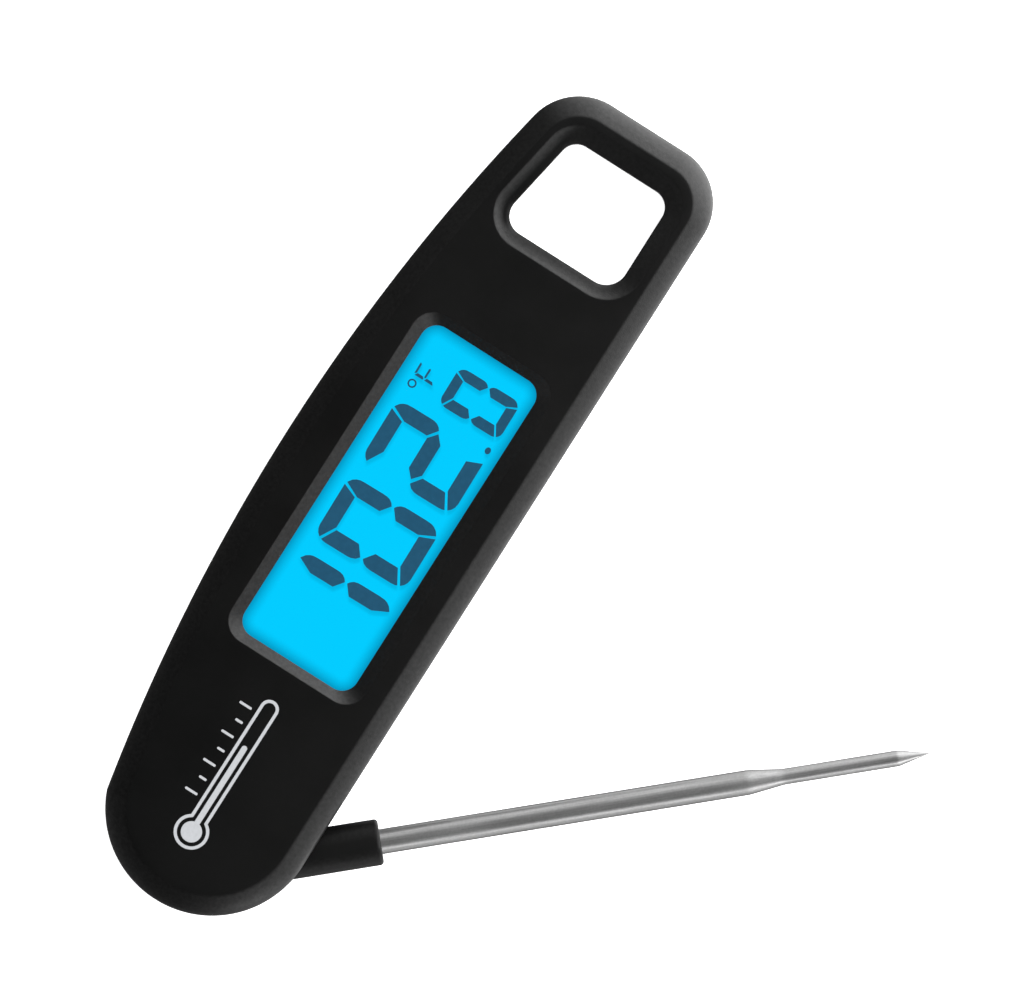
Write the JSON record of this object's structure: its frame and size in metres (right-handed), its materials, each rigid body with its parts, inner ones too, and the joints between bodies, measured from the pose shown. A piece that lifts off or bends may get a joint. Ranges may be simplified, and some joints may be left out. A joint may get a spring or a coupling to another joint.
{
  "type": "meat thermometer",
  "caption": "Slim folding meat thermometer with a backlit segment display, a hanging hole and a stepped steel needle on a swing-out arm.",
  "frame": {"origin": "on the flat back, at the middle of the body's length and width", "axes": "+Z out of the display face, +Y along the body towards the hanging hole, +X towards the straight side that the probe folds into"},
  "size_m": [0.1102, 0.1408, 0.0174],
  "materials": {
    "black_plastic": "satin moulded face with a fine grain on the bevels",
    "arm_plastic": "fine moulded grain",
    "seal_rubber": "matt",
    "button_rubber": "matt",
    "pink_rubber": "banded silicone",
    "screw_steel": "zinc plated",
    "needle_steel": "drawn, brushed along its length",
    "clear_window": "polished clear",
    "lcd": "lit cyan display",
    "display_print": "dark display segments",
    "grey_print": "pad-printed light grey ink",
    "white_plastic": "matt white",
    "circuit_board": "green solder mask",
    "black_resin": "glossy resin",
    "potting_resin": "cast resin",
    "ceramic_parts": "fired ceramic",
    "reed_glass": "clear green glass",
    "battery_steel": "rolled steel",
    "contact_brass": "stamped strip",
    "lead_insulation": "insulated wire",
    "magnet_nickel": "nickel plated",
    "bushing_plastic": "natural acetal"
  },
  "bodies": {
    "housing": {"front_cover": "black_plastic", "back_cover": "black_plastic", "housing_seal": "seal_rubber", "cover_screws": "screw_steel", "display_window": "clear_window", "window_adhesive": "seal_rubber", "lcd_glass": "lcd", "backlight_panel": "white_plastic", "backlight_leds": "white_plastic", "display_frame": "white_plastic", "zebra_strip": "pink_rubber", "circuit_board": "circuit_board", "processor_blob": "black_resin", "crystal": "screw_steel", "board_components": "ceramic_parts", "reed_switch": "reed_glass", "board_screws": "screw_steel", "battery": "battery_steel", "battery_contact_positive": "contact_brass", "battery_contact_negative": "contact_brass", "tact_switch": "screw_steel", "hinge_bushing_front": "bushing_plastic", "hinge_bushing_rear": "bushing_plastic", "hinge_seal": "seal_rubber", "friction_washer": "screw_steel", "housing_leads": "lead_insulation"},
    "probe": {"probe_arm_front": "arm_plastic", "probe_arm_rear": "arm_plastic", "probe_tube": "needle_steel", "thermistor": "black_resin", "sensor_potting": "potting_resin", "probe_leads": "lead_insulation", "hinge_magnet": "magnet_nickel"},
    "battery_door": {"battery_door": "black_plastic", "battery_door_seal": "seal_rubber"},
    "unit_button": {"unit_button": "button_rubber", "switch_plunger": "white_plastic"}
  },
  "joints": [
    {"name": "probe_hinge", "type": "hinge", "parent": "housing", "child": "probe", "pos_m": [0.015, -0.0551, 0.0084], "axis": [0, 0, 1], "range_deg": [-131.6, 48.4]},
    {"name": "battery_door_turn", "type": "hinge", "parent": "housing", "child": "battery_door", "pos_m": [-0.0025, 0.019, 0], "axis": [0, 0, -1], "range_deg": [0, 26]},
    {"name": "unit_button_press", "type": "slide", "parent": "housing", "child": "unit_button", "axis": [0, 0, 1], "range_m": [0, 0.0005], "stiffness_N_per_m": 600, "springref_m": -0.0015}
  ]
}
